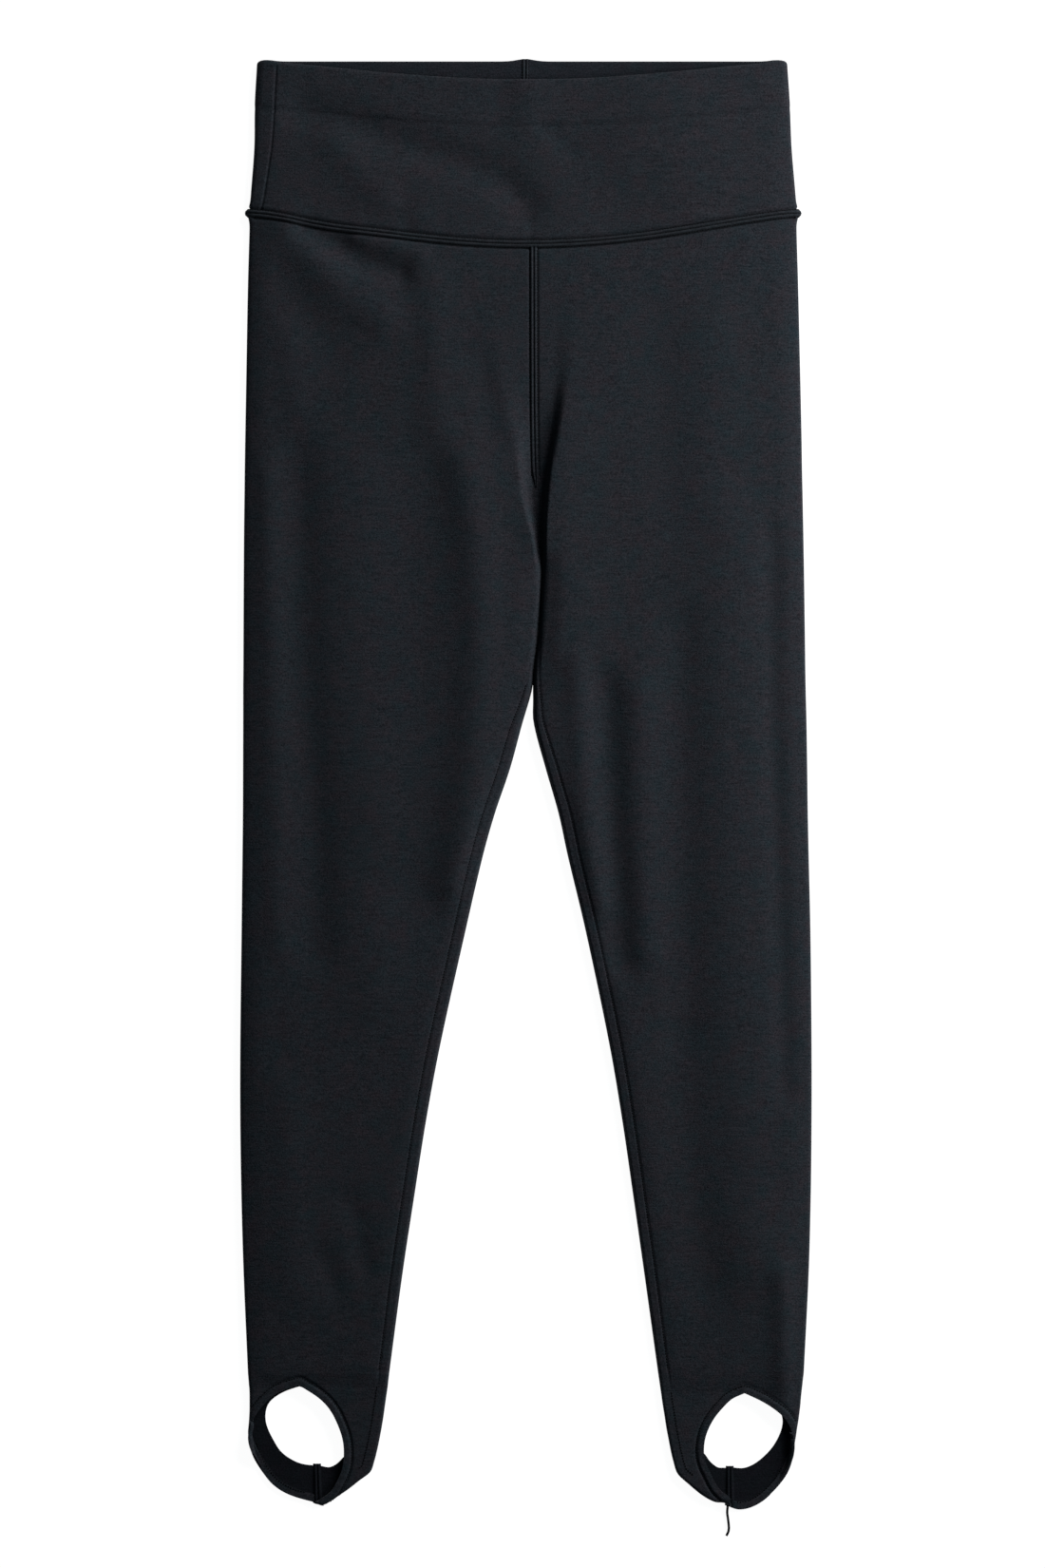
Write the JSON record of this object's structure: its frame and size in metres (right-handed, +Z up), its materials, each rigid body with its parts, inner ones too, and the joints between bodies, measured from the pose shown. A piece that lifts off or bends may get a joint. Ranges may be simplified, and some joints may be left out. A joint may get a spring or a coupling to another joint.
{
  "type": "stirrup leggings",
  "caption": "High-waisted stirrup leggings in thick knit, laid flat front side up, with a deep shaped waistband, raised seams and straps that pass under the feet.",
  "frame": {"origin": "centre of the underside of the laid garment's bounding box", "axes": "+X to the right of the picture, the wearer's left; +Y up the picture, from the feet to the waist; +Z up, out of the surface it lies on, towards the viewer"},
  "size_m": [0.3944, 1.0002, 0.0065],
  "materials": {
    "double_knit": "matte",
    "waistband_knit": "matte",
    "seam_knit": "matte"
  },
  "bodies": {
    "root": {"waistband_front": "waistband_knit", "waistband_back_left": "waistband_knit", "waistband_back_right": "waistband_knit", "waistband_back_seam": "seam_knit", "waist_seam": "seam_knit", "leg_right": "double_knit", "leg_left": "double_knit", "centre_front_seam": "seam_knit", "centre_back_seam": "seam_knit", "stirrup_right_outer": "double_knit", "stirrup_right_inner": "double_knit", "stirrup_left_outer": "double_knit", "stirrup_left_inner": "double_knit", "under_foot_seam_right": "seam_knit", "under_foot_seam_left": "seam_knit"}
  },
  "joints": []
}
